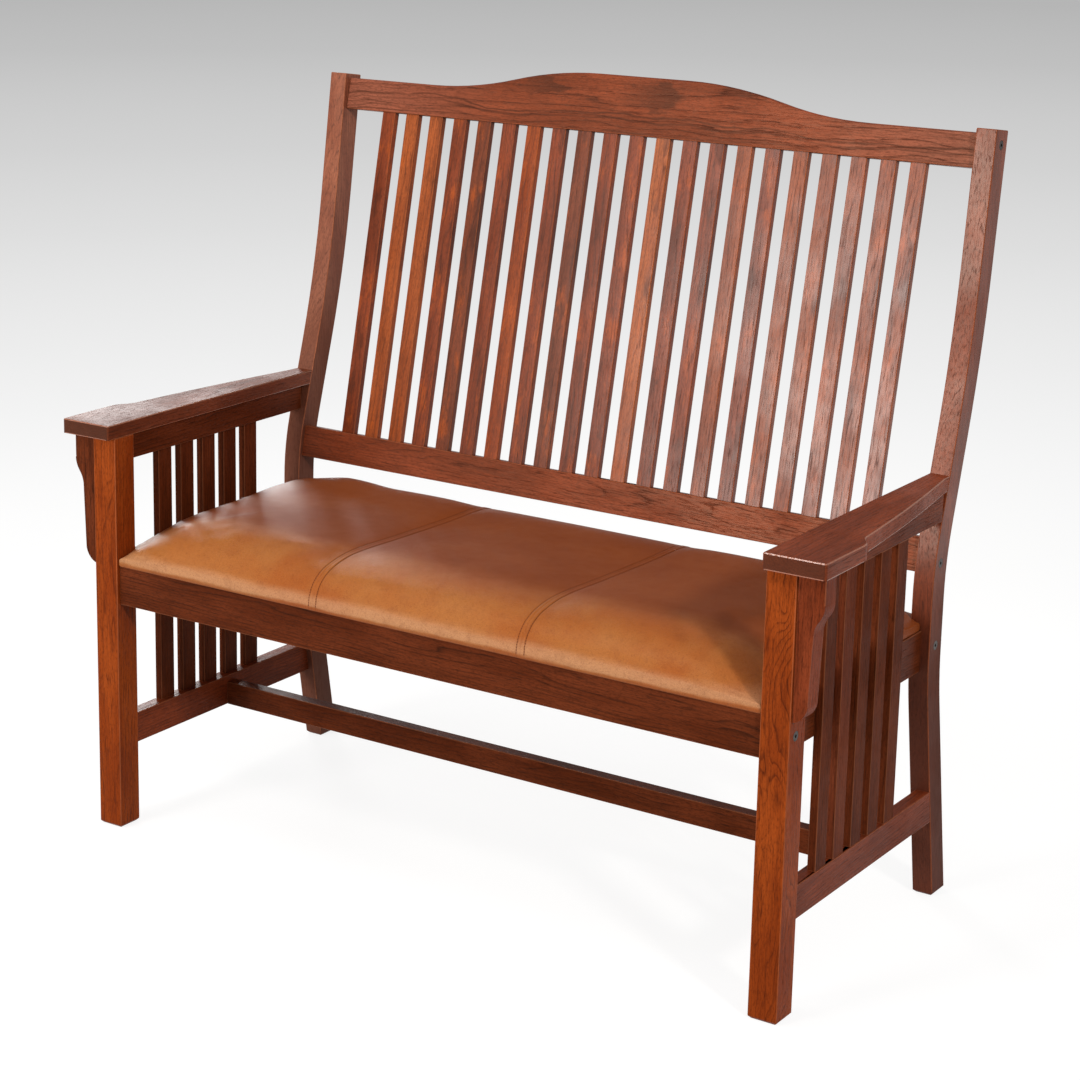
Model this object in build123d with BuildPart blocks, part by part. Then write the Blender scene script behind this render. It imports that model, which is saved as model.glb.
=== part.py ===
from build123d import *
import math
import os

os.makedirs("parts", exist_ok=True)

# A mission settle. Millimetres, +X to the sitter's left as seen from the front (the viewer's right),
# +Y to the back, +Z up. The origin is the middle of the floor under the bounding box. Depths in the
# functions below count from the front face of the front posts.

# Driving sizes
width_over_posts = 1221.0
front_post_side = 44.4
back_post_width = 31.8
back_post_depth = 42.0
back_post_inset = 12.7
back_post_height = 1156.0
arm_top_height = 665.0
arm_thickness = 23.0
arm_front_overhang = 15.3
rail_thickness = 22.2
seat_rail_bottom = 373.5
seat_rail_height = 63.5
seat_crown = 69.0
back_slat_count = 21
side_slat_count = 5

# Sawn shape of the back post: the corners of its middle line, which its long curves round off
waist_depth = 484.8
foot_kick = 64.2
back_lean = 130.2
knee_height_share = 0.310
waist_height_share = 0.463
shoulder_height_share = 0.722
shoulder_lean_share = 0.665
knee_radius = 500.0
waist_radius = 380.0
shoulder_radius = 1700.0

# Joinery
joint_gap = 0.2
end_gap = 1.0
tenon_length = 14.0
stub_length = 10.0
tenon_thickness = 10.0
thin_tenon = 8.0
tenon_shoulder = 8.0
overrun = 30.0
foot_ease = 4.0

# Arm outline, as seen from above
arm_side_overhang = 48.9
arm_notch_start = 94.0
arm_notch_length = 48.0
arm_notch_drop = 17.0
arm_bow = 3.5
arm_flush_length = 8.0
arm_corner_radius = 4.0
arm_edge_ease = 1.5
post_tenon_side = 22.0
post_tenon_length = 12.0

# Corbel
corbel_reach = 40.5
corbel_length = 208.0
corbel_recess = 3.5
corbel_thickness = 30.0
corbel_straight_share = 0.19
corbel_cove_share = 0.22
corbel_cove_reach_share = 0.62
corbel_tip_reach_share = 0.54
corbel_tip_share = 0.135

# Side frames
lower_rail_bottom = 128.5
lower_rail_height = 50.0
upper_rail_height = 42.0
side_slat_width = 31.8
side_slat_thickness = 12.7
side_slat_front_margin = 95.2
side_slat_back_margin = 107.4
side_slat_recess = 1.0
side_slat_tenon_thickness = 7.0
side_slat_tenon_length = 10.0
side_slat_tenon_shoulder = 3.0
side_seat_rail_thickness = 18.0

# Stretcher between the lower side rails
stretcher_height = 39.0
stretcher_middle_depth = 291.7

# Back
back_recess = 9.7
lower_back_rail_middle = 547.0
lower_back_rail_width = 51.8
crest_drop = 30.3
crest_end_width = 51.5
crest_rise = 40.5
crest_flat_half = 80.0
crest_low_half = 395.0
crest_edge_ease = 2.0
back_slat_width = 25.4
back_slat_thickness = 11.5
back_slat_margin = 88.0
back_slat_recess = 2.4
back_slat_seat = 14.0

# Seat frame
front_rail_recess = 6.5
bearer_height = 45.0
bearer_tenon_length = 8.0
block_leg = 78.0
block_height = 30.0
board_thickness = 12.0
board_inset = 3.2

# Connector bolts and their square nuts, and the dowel at the back of each arm
bolt_radius = 3.0
bolt_head_radius = 7.0
bolt_head_height = 2.4
bolt_past_nut = 4.0
bolt_gap = 0.25
hex_radius = 2.6
hex_depth = 1.6
nut_side = 13.0
nut_thickness = 6.0
nut_from_end = 32.0
thread_gap = 0.1
seat_bolt_rise = 6.5
lower_bolt_drop = 8.0
crest_bolt_rise = 11.0
dowel_radius = 4.0
dowel_length = 26.0

# Cushion: three crowned panels between two seams, a roll at the front and a tighter one at the back
cushion_front = 1.5
cushion_back_reach = 9.2
cushion_gap = 0.4
lip_gap = 0.3
seam_half = 184.1
front_roll = 84.0
lip_share = 0.2
shoulder_place_share = 0.167
shoulder_rise_share = 0.65
top_fall_share = 0.07
back_roll_share = 0.58
back_drop_share = 0.56
middle_place_shares = (-1, -0.87, -0.5, 0, 0.5, 0.87, 1)
middle_crown_shares = (0.957, 0.965, 0.97, 0.972, 0.97, 0.965, 0.957)
outer_place_shares = (0, 0.1, 0.2, 0.3, 0.4, 0.5, 0.6, 0.7, 0.78, 0.85, 0.91, 0.96, 1)
outer_crown_shares = (0.957, 0.978, 0.992, 1.0, 1.0, 1.0, 0.996, 0.98, 0.95, 0.875, 0.79, 0.65, 0.42)

# Values that follow from the sizes above
half_width = width_over_posts / 2
front_inner = half_width - front_post_side
back_outer = half_width - back_post_inset
back_inner = back_outer - back_post_width
arm_bottom = arm_top_height - arm_thickness
seat_rail_top = seat_rail_bottom + seat_rail_height
foot_depth = waist_depth + foot_kick
shoulder_depth = waist_depth + shoulder_lean_share * back_lean
top_depth = waist_depth + back_lean
knee_height = knee_height_share * back_post_height
waist_height = waist_height_share * back_post_height
shoulder_height = shoulder_height_share * back_post_height
top_slope = (top_depth - shoulder_depth) / (back_post_height - shoulder_height)
half_post = back_post_depth / 2
crest_middle = back_post_height - crest_drop
rear_reach = top_depth + half_post * (1 - top_slope**2)
front_y = -(rear_reach - arm_front_overhang) / 2


def post_depth(height):
    """Depth of the back post's middle line at a height, before its corners are rounded."""
    corners = (
        (0, foot_depth),
        (knee_height, waist_depth),
        (waist_height, waist_depth),
        (shoulder_height, shoulder_depth),
        (back_post_height, top_depth),
    )
    for (low, start), (high, end) in zip(corners, corners[1:]):
        if height <= high:
            return start + (end - start) * (height - low) / (high - low)
    return top_depth


def side_plane(x):
    """Upright plane at x whose own axes are depth and height."""
    return Plane((x, front_y, 0), x_dir=(0, 1, 0), z_dir=(1, 0, 0))


def floor_plane(height):
    """Level plane whose own axes are x and depth."""
    return Plane((0, front_y, height), x_dir=(1, 0, 0), z_dir=(0, 0, 1))


def block(x, depth, height, mode=Mode.ADD):
    """Box between two places on each axis."""
    with Locations((sum(x) / 2, front_y + sum(depth) / 2, sum(height) / 2)):
        Box(abs(x[1] - x[0]), abs(depth[1] - depth[0]), abs(height[1] - height[0]), mode=mode)


def grown(span, gap=joint_gap):
    """The same span with a gap at both ends."""
    return (min(span) - gap, max(span) + gap)


def pin(x, depth, height, radius, mode=Mode.ADD):
    """Cylinder along X between two places, at a depth and a height."""
    with BuildSketch(side_plane(min(x))) as disc:
        with Locations((depth, height)):
            Circle(radius)
    extrude(disc.sketch, amount=abs(x[1] - x[0]), mode=mode)


def mirrored(piece):
    """The piece on the other side of the settle."""
    return mirror(piece, about=Plane.YZ)


def save(piece, name):
    """Label a finished piece and write it as the node of that name."""
    piece.label = name
    export_step(piece, f"parts/{name}.step")


def save_pair(piece, name):
    """Write a right-hand piece and its left-hand twin."""
    save(mirrored(piece), f"{name}_left")
    save(piece, f"{name}_right")


# Tenons of the side frames, each as x, depth and height spans, shared by the rail and its mortises
side_rail_x = (back_outer - rail_thickness, back_outer)
side_rail_middle = sum(side_rail_x) / 2
slat_outer = back_outer - side_slat_recess
slat_x = (slat_outer - side_slat_thickness, slat_outer)
seat_rail_x = (slat_x[0] - side_seat_rail_thickness, slat_x[0])
seat_rail_middle = sum(seat_rail_x) / 2
lower_rail_z = (lower_rail_bottom, lower_rail_bottom + lower_rail_height)
upper_rail_z = (arm_bottom - upper_rail_height, arm_bottom)
seat_rail_z = (seat_rail_bottom, seat_rail_top)


def side_tenon(middle_x, thickness, height):
    """Spans of one rail's through-running tongue: its two ends are the rail's tenons."""
    middle_height = sum(height) / 2
    back_end = post_depth(middle_height) - half_post + tenon_length
    x = (middle_x - thickness / 2, middle_x + thickness / 2)
    z = (height[0] + tenon_shoulder, height[1] - tenon_shoulder)
    return x, (front_post_side - tenon_length, back_end), z


lower_tongue = side_tenon(side_rail_middle, tenon_thickness, lower_rail_z)
upper_tongue = side_tenon(side_rail_middle, tenon_thickness, upper_rail_z)
seat_tongue = side_tenon(seat_rail_middle, thin_tenon, seat_rail_z)


def side_mortises():
    """Mortises of the three side rails, cut in whichever post is being built."""
    for x, depth, height in (lower_tongue, upper_tongue, seat_tongue):
        block(grown(x), grown(depth, end_gap), grown(height), Mode.SUBTRACT)


# The raked plane of the back's front face: its own axes are x and the height along the rake
back_run = crest_middle - lower_back_rail_middle
rake = math.atan2(post_depth(crest_middle) - post_depth(lower_back_rail_middle), back_run)
back_origin_depth = post_depth(lower_back_rail_middle) - half_post + back_recess
crest_middle_run = back_run / math.cos(rake)
crest_bottom_run = crest_middle_run - crest_end_width / 2
lower_top_run = lower_back_rail_width / 2


def back_plane(inward=0):
    """Plane of the back rails' front faces, moved back into the rails by a distance."""
    face = Plane(
        (0, front_y + back_origin_depth, lower_back_rail_middle),
        x_dir=(1, 0, 0),
        z_dir=(0, -math.cos(rake), math.sin(rake)),
    )
    return face.offset(-inward)


def back_place(run):
    """Depth and height of a point in the middle of the back rails' thickness."""
    inward = rail_thickness / 2
    depth = back_origin_depth + run * math.sin(rake) + inward * math.cos(rake)
    height = lower_back_rail_middle + run * math.cos(rake) - inward * math.sin(rake)
    return depth, height


# Bolted ends of the four long rails: the post's faces, the bolt, the stub tenon's middle, height and tilt,
# and the way out of the nut's pocket, which opens on the rail's hidden face
front_rail_middle = front_rail_recess + rail_thickness / 2
seat_middle_height = seat_rail_bottom + seat_rail_height / 2
seat_stub_height = seat_rail_height - 2 * tenon_shoulder
behind_back = (0, math.cos(rake), -math.sin(rake))
bolted_ends = {
    "front": (
        (front_inner, half_width),
        (front_rail_middle, seat_middle_height + seat_bolt_rise),
        ((front_rail_middle, seat_middle_height), seat_stub_height, 0),
        (0, 1, 0),
    ),
    "rear": (
        (back_inner, back_outer),
        (waist_depth, seat_middle_height + seat_bolt_rise),
        ((waist_depth, seat_middle_height), seat_stub_height, 0),
        (0, -1, 0),
    ),
    "lower": (
        (back_inner, back_outer),
        back_place(-lower_bolt_drop),
        (back_place(0), lower_back_rail_width - 2 * tenon_shoulder, -math.degrees(rake)),
        behind_back,
    ),
    "crest": (
        (back_inner, back_outer),
        back_place(crest_middle_run + crest_bolt_rise),
        (back_place(crest_middle_run), crest_end_width - 2 * tenon_shoulder, -math.degrees(rake)),
        behind_back,
    ),
}


def bolt_tip(inner):
    """How far in along X a bolt ends, past its nut."""
    return inner - nut_from_end - nut_thickness / 2 - bolt_past_nut


def stub_tenon(name, side, gap=0, mode=Mode.ADD):
    """Stub tenon at one end of a long rail, or with a gap the mortise for it in the post."""
    (inner, outer), bolt, (middle, height, tilt), hidden = bolted_ends[name]
    reach = stub_length + (end_gap if gap else 0)
    with BuildSketch(side_plane(min(side * inner, side * (inner + reach)))) as stub:
        with Locations(middle):
            Rectangle(tenon_thickness + 2 * gap, height + 2 * gap, rotation=tilt)
    extrude(stub.sketch, amount=reach, mode=mode)


def post_end_holes(names):
    """Bolt holes, head recesses and stub mortises in a right-hand post."""
    for name in names:
        (inner, outer), bolt, stub, hidden = bolted_ends[name]
        stub_tenon(name, 1, joint_gap, Mode.SUBTRACT)
        pin((inner - overrun, outer + overrun), *bolt, bolt_radius + bolt_gap, Mode.SUBTRACT)
        pin((outer - bolt_head_height, outer + overrun), *bolt, bolt_head_radius + bolt_gap, Mode.SUBTRACT)


def nut_pocket(name, side):
    """Pocket of a square nut, open on the hidden face of the rail being built."""
    (inner, outer), bolt, (middle, height, tilt), hidden = bolted_ends[name]
    thickness = nut_thickness + 2 * joint_gap
    place = (bolt[0] + hidden[1] * overrun / 2, bolt[1] + hidden[2] * overrun / 2)
    with BuildSketch(side_plane(side * (inner - nut_from_end) - thickness / 2)) as pocket:
        with Locations(place):
            side_length = nut_side + 2 * joint_gap
            Rectangle(side_length + overrun, side_length, rotation=tilt)
    extrude(pocket.sketch, amount=thickness, mode=Mode.SUBTRACT)


def finish_rail_ends(name):
    """Stub tenons, bolt bores and nut pockets at both ends of a long rail."""
    (inner, outer), bolt, stub, hidden = bolted_ends[name]
    for side in (-1, 1):
        stub_tenon(name, side)
        pin((side * (bolt_tip(inner) - end_gap), side * (inner + overrun)), *bolt,
            bolt_radius + bolt_gap, Mode.SUBTRACT)
        nut_pocket(name, side)


# Front posts: square, eased at the foot, with a tenon up into the arm
arm_tenon_x = (half_width - front_post_side / 2 - post_tenon_side / 2,
               half_width - front_post_side / 2 + post_tenon_side / 2)
arm_tenon_y = (front_post_side / 2 - post_tenon_side / 2, front_post_side / 2 + post_tenon_side / 2)

with BuildPart() as front_post:
    block((front_inner, half_width), (0, front_post_side), (0, arm_bottom))
    chamfer(front_post.faces().sort_by(Axis.Z)[0].edges(), foot_ease)
    block(arm_tenon_x, arm_tenon_y, (arm_bottom, arm_bottom + post_tenon_length))
    side_mortises()
    post_end_holes(["front"])
save_pair(front_post.part, "front_post")


def post_edge(offset, slack=0):
    """Corners of the back post's front or rear edge, at an offset from its middle line."""
    rise = -offset * top_slope
    return [
        (foot_depth + offset + slack, 0),
        (waist_depth + offset + slack, knee_height),
        (waist_depth + offset + slack, waist_height),
        (shoulder_depth + offset + slack, shoulder_height),
        (top_depth + offset + slack + rise * top_slope, back_post_height + rise),
    ]


def post_outline(x, slack=0):
    """Sawn outline of the back post on the side plane at x, its front edge moved forward by a slack."""
    bends = [knee_radius, waist_radius, shoulder_radius]
    front = post_edge(-half_post, -slack)
    rear = post_edge(half_post)
    with BuildSketch(side_plane(x)) as outline:
        with BuildLine():
            FilletPolyline(*front, radius=bends)
            Line(front[-1], rear[-1])
            FilletPolyline(*reversed(rear), radius=list(reversed(bends)))
            Line(rear[0], front[0])
        make_face()
    return outline.sketch


# Back posts: sawn from a plank, kicked back at the foot, upright at the seat and bowed above it
arm_dowel_x = (back_inner + back_outer) / 2
arm_dowel_height = arm_bottom + arm_thickness / 2
arm_dowel_start = post_depth(arm_dowel_height) - half_post


def level_pin(x, depth, height, radius, mode=Mode.ADD):
    """Cylinder along Y between two depths."""
    with BuildSketch(Plane((x, front_y + min(depth), height), x_dir=(1, 0, 0), z_dir=(0, 1, 0))) as disc:
        Circle(radius)
    extrude(disc.sketch, amount=abs(depth[1] - depth[0]), mode=mode)


with BuildPart() as back_post:
    extrude(post_outline(back_inner), amount=back_post_width)
    chamfer(back_post.faces().sort_by(Axis.Z)[0].edges(), foot_ease)
    side_mortises()
    post_end_holes(["rear", "lower", "crest"])
    arm_dowel_hole = (arm_dowel_start - overrun, arm_dowel_start + dowel_length / 2 + end_gap)
    level_pin(arm_dowel_x, arm_dowel_hole, arm_dowel_height, dowel_radius + joint_gap / 2, Mode.SUBTRACT)
save_pair(back_post.part, "back_post")


def cope_to_back_post(width):
    """Cut the piece being built to the curved front face of the back post."""
    extrude(post_outline(width[0], joint_gap), amount=width[1] - width[0], mode=Mode.SUBTRACT)


# Arms: wide over the front post, an ogee step, then a bowed taper to the back post
arm_wide = half_width + arm_side_overhang
arm_narrow = arm_wide - arm_notch_drop
arm_notch_end = arm_notch_start + arm_notch_length
arm_end_depth = post_depth(arm_bottom) - half_post - arm_flush_length
bow_middle = ((arm_narrow + back_outer) / 2 + arm_bow, (arm_notch_end + arm_end_depth) / 2)

with BuildPart() as arm:
    with BuildSketch(floor_plane(arm_bottom)) as arm_outline:
        with BuildLine():
            Polyline(
                (back_outer, arm_end_depth),
                (back_outer, arm_end_depth + overrun),
                (front_inner, arm_end_depth + overrun),
                (front_inner, -arm_front_overhang),
                (arm_wide, -arm_front_overhang),
                (arm_wide, arm_notch_start),
            )
            notch_middle = (arm_wide - arm_notch_drop / 2, arm_notch_start + arm_notch_length / 2)
            TangentArc((arm_wide, arm_notch_start), notch_middle, tangent=(0, 1))
            TangentArc((arm_narrow, arm_notch_end), notch_middle, tangent=(0, -1))
            ThreePointArc((arm_narrow, arm_notch_end), bow_middle, (back_outer, arm_end_depth))
        make_face()
        front_corners = arm_outline.vertices().group_by(Axis.Y)[0]
        fillet(front_corners, arm_corner_radius)
    extrude(amount=arm_thickness)
    top_edges = arm.faces().filter_by(Axis.Z).sort_by(Axis.Z)[-1].edges()
    inner_edge = [edge for edge in top_edges if (edge @ 0.5).X < arm_tenon_x[0]]
    wide_edges = [edge for edge in top_edges if (edge @ 0.5).Y < front_y + arm_notch_start]
    chamfer(list(dict.fromkeys(inner_edge + wide_edges)), arm_edge_ease)
    cope_to_back_post((front_inner - overrun, arm_wide + overrun))
    arm_mortise_z = (arm_bottom - overrun, arm_bottom + post_tenon_length + end_gap)
    block(grown(arm_tenon_x), grown(arm_tenon_y), arm_mortise_z, Mode.SUBTRACT)
    arm_end_hole = (arm_dowel_start - dowel_length / 2 - end_gap, arm_dowel_start + overrun)
    level_pin(arm_dowel_x, arm_end_hole, arm_dowel_height, dowel_radius + joint_gap / 2, Mode.SUBTRACT)
save_pair(arm.part, "arm")

# Corbels: a bracket under each arm's overhang, with a cove and a rounded tip
corbel_bottom = arm_bottom - corbel_length
cove_top = arm_bottom - corbel_straight_share * corbel_length
cove_bottom = cove_top - corbel_cove_share * corbel_length
cove_reach = corbel_cove_reach_share * corbel_reach
tip_reach = corbel_tip_reach_share * corbel_reach
tip_top = corbel_bottom + corbel_tip_share * corbel_length

with BuildPart() as corbel:
    corbel_front = Plane((half_width, front_y + corbel_recess, 0), x_dir=(1, 0, 0), z_dir=(0, -1, 0))
    with BuildSketch(corbel_front):
        with BuildLine():
            Polyline(
                (0, corbel_bottom),
                (0, arm_bottom),
                (corbel_reach, arm_bottom),
                (corbel_reach, cove_top),
            )
            cove_middle = ((corbel_reach + cove_reach) / 2, (cove_top + cove_bottom) / 2)
            TangentArc((corbel_reach, cove_top), cove_middle, tangent=(0, -1))
            TangentArc((cove_reach, cove_bottom), cove_middle, tangent=(0, 1))
            Line((cove_reach, cove_bottom), (tip_reach, tip_top))
            TangentArc((tip_reach, tip_top), (0, corbel_bottom), tangent=(0, -1))
        make_face()
    extrude(amount=-corbel_thickness)
save_pair(corbel.part, "corbel")

# Side slats: shouldered tenons at both ends, let into the lower and upper side rails
slat_tenon_x = ((sum(slat_x) - side_slat_tenon_thickness) / 2, (sum(slat_x) + side_slat_tenon_thickness) / 2)
slat_z = (lower_rail_z[1], upper_rail_z[0])


def side_slat_depths():
    """Front and rear edge of each side slat."""
    first = front_post_side + side_slat_front_margin
    last = waist_depth - half_post - side_slat_back_margin
    pitch = (last - first) / (side_slat_count - 1)
    for number in range(side_slat_count):
        middle = first + number * pitch
        yield middle - side_slat_width / 2, middle + side_slat_width / 2


def side_slat_tenon(edges):
    """Depth span of a side slat's tenon."""
    return edges[0] + side_slat_tenon_shoulder, edges[1] - side_slat_tenon_shoulder


for number, edges in enumerate(side_slat_depths(), start=1):
    with BuildPart() as side_slat:
        block(slat_x, edges, slat_z)
        block(slat_tenon_x, side_slat_tenon(edges), grown(slat_z, side_slat_tenon_length))
    save(mirrored(side_slat.part), f"side_slat_left_{number}")
    save(side_slat.part, f"side_slat_right_{number}")


def side_slat_mortises():
    """Mortises of the side slats, cut in whichever side rail is being built."""
    for edges in side_slat_depths():
        block(grown(slat_tenon_x), grown(side_slat_tenon(edges)),
              grown(slat_z, side_slat_tenon_length + end_gap), Mode.SUBTRACT)


# Lower side rails: coped to the kicked-back leg, mortised for the slats and the stretcher
stretcher_y = (stretcher_middle_depth - rail_thickness / 2, stretcher_middle_depth + rail_thickness / 2)
stretcher_z = (lower_rail_bottom, lower_rail_bottom + stretcher_height)
stretcher_end = side_rail_x[0]
stretcher_tenon_y = (stretcher_middle_depth - tenon_thickness / 2,
                     stretcher_middle_depth + tenon_thickness / 2)
stretcher_tenon_z = (stretcher_z[0] + tenon_shoulder, stretcher_z[1] - tenon_shoulder)

with BuildPart() as lower_side_rail:
    block(side_rail_x, (front_post_side, post_depth(lower_rail_z[0])), lower_rail_z)
    cope_to_back_post(grown(side_rail_x, overrun))
    block(*lower_tongue)
    side_slat_mortises()
    block((stretcher_end - overrun, stretcher_end + tenon_length + end_gap), grown(stretcher_tenon_y),
          grown(stretcher_tenon_z), Mode.SUBTRACT)
save_pair(lower_side_rail.part, "lower_side_rail")

with BuildPart() as center_stretcher:
    block((-stretcher_end, stretcher_end), stretcher_y, stretcher_z)
    block(grown((-stretcher_end, stretcher_end), tenon_length), stretcher_tenon_y, stretcher_tenon_z)
save(center_stretcher.part, "center_stretcher")

# Upper side rails: their back end is sawn upright, so a small wedge of air is left at the raked post
upper_rail_end = post_depth(upper_rail_z[0]) - half_post
with BuildPart() as upper_side_rail:
    block(side_rail_x, (front_post_side, upper_rail_end), upper_rail_z)
    block(*upper_tongue)
    side_slat_mortises()
save_pair(upper_side_rail.part, "upper_side_rail")

# Corner blocks: each one's corner lies where an end rail's inner face meets the side rail's inner face
front_rail_y = (front_rail_recess, front_rail_recess + rail_thickness)
rear_rail_y = (waist_depth - rail_thickness / 2, waist_depth + rail_thickness / 2)
block_corner_x = min(front_inner, back_inner, seat_rail_x[0])
block_z = (seat_rail_top - block_height, seat_rail_top)
block_corners = ((front_rail_y[1], 1), (rear_rail_y[0], -1))


# Side seat rails: against the inside of the slats, between the posts
with BuildPart() as side_seat_rail:
    block(seat_rail_x, (front_post_side, waist_depth - half_post), seat_rail_z)
    block(*seat_tongue)
save_pair(side_seat_rail.part, "side_seat_rail")

# Front and back seat rails, with a housing for the middle bearer
bearer_x = (-rail_thickness / 2, rail_thickness / 2)
bearer_z = (seat_rail_top - bearer_height, seat_rail_top)
bearer_tenon_x = (-tenon_thickness / 2, tenon_thickness / 2)
bearer_tenon_y = (front_rail_y[1] - bearer_tenon_length, rear_rail_y[0] + bearer_tenon_length)
bearer_tenon_z = (bearer_z[0] + tenon_shoulder, bearer_z[1] - tenon_shoulder)


def bearer_mortise():
    """Mortise of the middle bearer in the rail being built."""
    block(grown(bearer_tenon_x), grown(bearer_tenon_y, end_gap), grown(bearer_tenon_z), Mode.SUBTRACT)


with BuildPart() as front_seat_rail:
    block((-front_inner, front_inner), front_rail_y, seat_rail_z)
    finish_rail_ends("front")
    bearer_mortise()
save(front_seat_rail.part, "front_seat_rail")

with BuildPart() as back_seat_rail:
    block((-back_inner, back_inner), rear_rail_y, seat_rail_z)
    finish_rail_ends("rear")
    bearer_mortise()
save(back_seat_rail.part, "back_seat_rail")

with BuildPart() as seat_bearer:
    block(bearer_x, (front_rail_y[1], rear_rail_y[0]), bearer_z)
    block(bearer_tenon_x, bearer_tenon_y, bearer_tenon_z)
save(seat_bearer.part, "seat_bearer")

with BuildPart() as corner_blocks:
    for depth, inward in block_corners:
        with BuildSketch(floor_plane(block_z[0])):
            Polygon(
                (block_corner_x, depth),
                (block_corner_x - block_leg, depth),
                (block_corner_x, depth + inward * block_leg),
                align=None,
            )
        extrude(amount=block_height)
    mirror(about=Plane.YZ)
save(corner_blocks.part, "corner_blocks")

# Back: a straight rail below and a camel-back crest, sawn in the raked plane, with the slats let in
crest_top_run = crest_bottom_run + crest_end_width
slat_run = (lower_top_run - back_slat_seat, crest_bottom_run + back_slat_seat)
slat_pitch = 2 * (back_inner - back_slat_margin) / (back_slat_count - 1)
slat_places = [(number - (back_slat_count - 1) / 2) * slat_pitch for number in range(back_slat_count)]


def back_slat_block(x, gap, mode=Mode.ADD):
    """A back slat at x, or its mortises, which are wider and longer by a gap."""
    with BuildSketch(back_plane(back_slat_recess - gap)) as slat_face:
        with Locations((x, sum(slat_run) / 2)):
            length = slat_run[1] - slat_run[0]
            Rectangle(back_slat_width + 2 * gap, length + (2 * end_gap if gap else 0))
    extrude(slat_face.sketch, amount=-(back_slat_thickness + 2 * gap), mode=mode)


def back_slat_mortises():
    """Mortises of all back slats in the rail being built."""
    for x in slat_places:
        back_slat_block(x, joint_gap, Mode.SUBTRACT)


with BuildPart() as lower_back_rail:
    with BuildSketch(back_plane()):
        Rectangle(2 * back_inner, lower_back_rail_width)
    extrude(amount=-rail_thickness)
    back_slat_mortises()
    finish_rail_ends("lower")
save(lower_back_rail.part, "lower_back_rail")

with BuildPart() as crest_rail:
    with BuildSketch(back_plane()):
        with BuildLine():
            bend = ((crest_flat_half + crest_low_half) / 2, crest_top_run + crest_rise / 2)
            Line((0, crest_bottom_run), (back_inner, crest_bottom_run))
            Line((back_inner, crest_bottom_run), (back_inner, crest_top_run))
            Line((back_inner, crest_top_run), (crest_low_half, crest_top_run))
            TangentArc((crest_low_half, crest_top_run), bend, tangent=(-1, 0))
            TangentArc((crest_flat_half, crest_top_run + crest_rise), bend, tangent=(1, 0))
            Line((crest_flat_half, crest_top_run + crest_rise), (0, crest_top_run + crest_rise))
            mirror(about=Plane.YZ)
        make_face()
    extrude(amount=-rail_thickness)
    upper_edges = [edge for edge in crest_rail.edges() if (edge @ 0.5).Z > crest_middle]
    chamfer([edge for edge in upper_edges if abs((edge % 0.5).X) > 0.5], crest_edge_ease)
    back_slat_mortises()
    finish_rail_ends("crest")
save(crest_rail.part, "crest_rail")

for number, x in enumerate(slat_places, start=1):
    with BuildPart() as back_slat:
        back_slat_block(x, 0)
    save(back_slat.part, f"back_slat_{number:02d}")

# Connector bolts with a socket in the head, their square nuts, and the dowels of the arms
with BuildPart() as connector_bolts:
    for (inner, outer), bolt, stub, hidden in bolted_ends.values():
        pin((bolt_tip(inner), outer), *bolt, bolt_radius)
        pin((outer - bolt_head_height, outer), *bolt, bolt_head_radius)
        with BuildSketch(side_plane(outer)):
            with Locations(bolt):
                RegularPolygon(hex_radius, 6)
        extrude(amount=-hex_depth, mode=Mode.SUBTRACT)
    mirror(about=Plane.YZ)
save(connector_bolts.part, "connector_bolts")

with BuildPart() as bolt_nuts:
    for (inner, outer), bolt, (middle, height, tilt), hidden in bolted_ends.values():
        with BuildSketch(side_plane(inner - nut_from_end - nut_thickness / 2)):
            with Locations(bolt):
                Rectangle(nut_side, nut_side, rotation=tilt)
                Circle(bolt_radius + thread_gap, mode=Mode.SUBTRACT)
        extrude(amount=nut_thickness)
    mirror(about=Plane.YZ)
save(bolt_nuts.part, "bolt_nuts")

with BuildPart() as arm_dowels:
    arm_dowel_span = (arm_dowel_start - dowel_length / 2, arm_dowel_start + dowel_length / 2)
    level_pin(arm_dowel_x, arm_dowel_span, arm_dowel_height, dowel_radius)
    mirror(about=Plane.YZ)
save(arm_dowels.part, "arm_dowels")

# Seat: a board on the rails, and a stuffed leather seat whose lip hangs round the board's edge
seat_side = slat_x[0] - cushion_gap
cushion_back = waist_depth + cushion_back_reach
seat_depth = (cushion_front, cushion_back)
seat_bottom = seat_rail_top + lip_gap
board_z = (seat_rail_top, seat_rail_top + board_thickness)


def seat_notches(gap, height):
    """Clearance of the seat or its board round the four posts."""
    for side in (-1, 1):
        block((side * (front_inner - gap), side * (half_width + overrun)),
              (cushion_front - overrun, front_post_side + gap), height, Mode.SUBTRACT)
        block((side * (back_inner - gap), side * (half_width + overrun)),
              (waist_depth - half_post - gap, cushion_back + overrun), height, Mode.SUBTRACT)


def board_shape(gap, height, mode=Mode.ADD):
    """The seat board, or the pocket for it, which is larger all round by a gap."""
    inset = board_inset - gap
    with BuildSketch(floor_plane(height[0])) as board_outline:
        with Locations((0, sum(seat_depth) / 2)):
            Rectangle(2 * (seat_side - inset), seat_depth[1] - seat_depth[0] - 2 * inset)
        clear = 2 * (cushion_gap + inset)
        for side in (-1, 1):
            for x, depths in ((front_inner, (cushion_front - overrun, front_post_side)),
                              (back_inner, (waist_depth - half_post, cushion_back + overrun))):
                with Locations((side * (x + half_width) / 2, sum(depths) / 2)):
                    notch = (half_width - x + clear, depths[1] - depths[0] + clear)
                    Rectangle(*notch, mode=Mode.SUBTRACT)
    extrude(board_outline.sketch, amount=height[1] - height[0], mode=mode)


with BuildPart() as seat_board:
    board_shape(0, board_z)
save(seat_board.part, "seat_board")


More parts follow.
